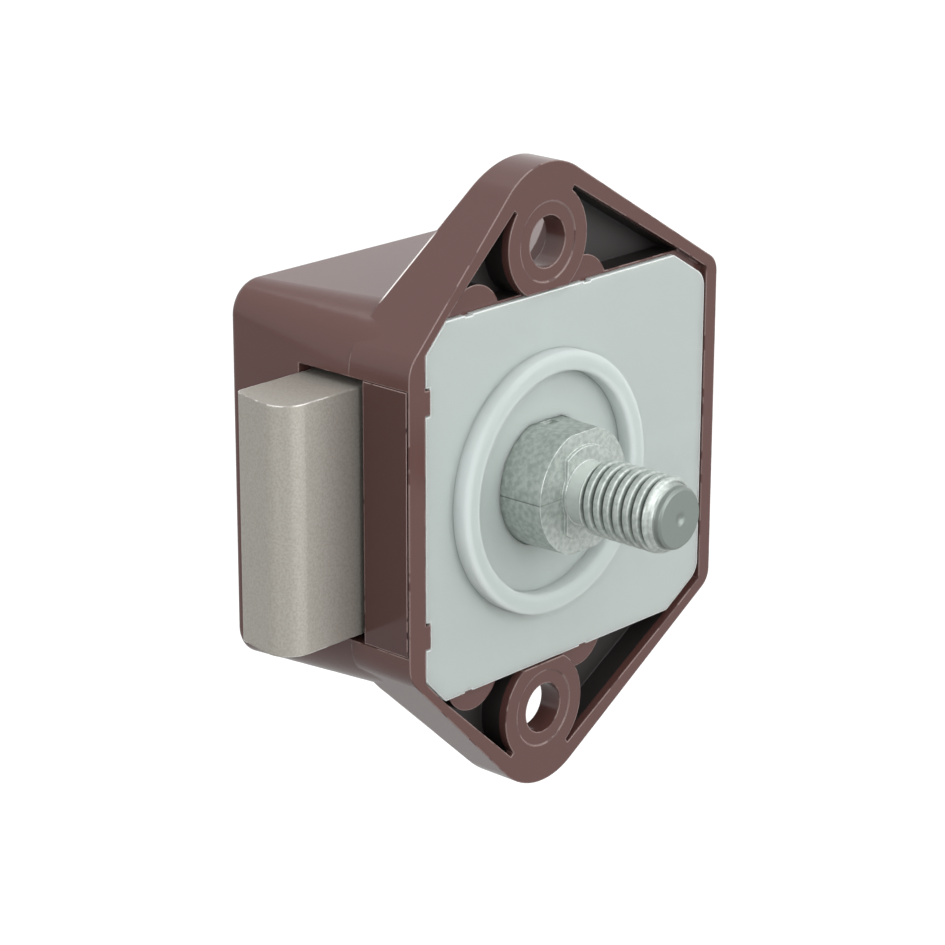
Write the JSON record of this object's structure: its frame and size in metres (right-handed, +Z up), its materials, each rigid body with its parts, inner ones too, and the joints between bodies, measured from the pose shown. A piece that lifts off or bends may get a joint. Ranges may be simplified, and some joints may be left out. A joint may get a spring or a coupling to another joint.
{
  "type": "push-button lock",
  "caption": "Push-button cabinet lock: moulded housing with two screw ears, cover plate with a locating ring, threaded push spindle and a slanted latch bolt.",
  "frame": {"origin": "on the spindle's axis, in the plane of the front rim that lies against the panel", "axes": "+X along the latch bolt, away from its tip; +Y from the panel into the cabinet; +Z up, along the line of the two screw ears"},
  "size_m": [0.0515, 0.0382, 0.0596],
  "materials": {
    "housing_plastic": "gloss",
    "insert_plastic": "gloss",
    "plate_plastic": "satin",
    "bolt_metal": "satin",
    "spindle_metal": "as cast",
    "acetal": "satin",
    "steel": "bright"
  },
  "bodies": {
    "base": {"housing": "housing_plastic", "slot_insert": "insert_plastic", "cover_plate": "plate_plastic", "latch_track": "acetal", "spindle_spring": "steel", "spring_guide_pin": "steel"},
    "push_spindle": {"spindle": "spindle_metal", "roller_clip_upper": "steel", "roller_clip_lower": "steel", "follower_pivot": "steel"},
    "bolt": {"latch_bolt": "bolt_metal", "cam_plate_upper": "acetal", "cam_plate_lower": "acetal", "cam_pin_upper_front": "steel", "cam_pin_upper_rear": "steel", "cam_pin_lower_front": "steel", "cam_pin_lower_rear": "steel"},
    "upper_roller": {"roller_upper": "acetal"},
    "lower_roller": {"roller_lower": "acetal"},
    "follower": {"latch_follower": "steel"}
  },
  "joints": [
    {"name": "spindle_slide", "type": "slide", "parent": "base", "child": "push_spindle", "axis": [0, -1, 0], "range_m": [-0.0006, 0.0105]},
    {"name": "bolt_slide", "type": "slide", "parent": "base", "child": "bolt", "axis": [1, 0, 0], "range_m": [-0.0006, 0.0105]},
    {"name": "upper_roller_spin", "type": "hinge", "parent": "push_spindle", "child": "upper_roller", "pos_m": [0, 0.0169, 0.00995], "axis": [0, 0, 1], "continuous": true},
    {"name": "lower_roller_spin", "type": "hinge", "parent": "push_spindle", "child": "lower_roller", "pos_m": [0, 0.0169, -0.00995], "axis": [0, 0, 1], "continuous": true},
    {"name": "follower_swing", "type": "hinge", "parent": "push_spindle", "child": "follower", "pos_m": [0.0088, 0.0157, 0], "axis": [1, 0, 0], "range_deg": [-8, 8]}
  ],
  "couplings": [
    {"joint": "bolt_slide", "follows": "spindle_slide", "ratio": 1}
  ]
}
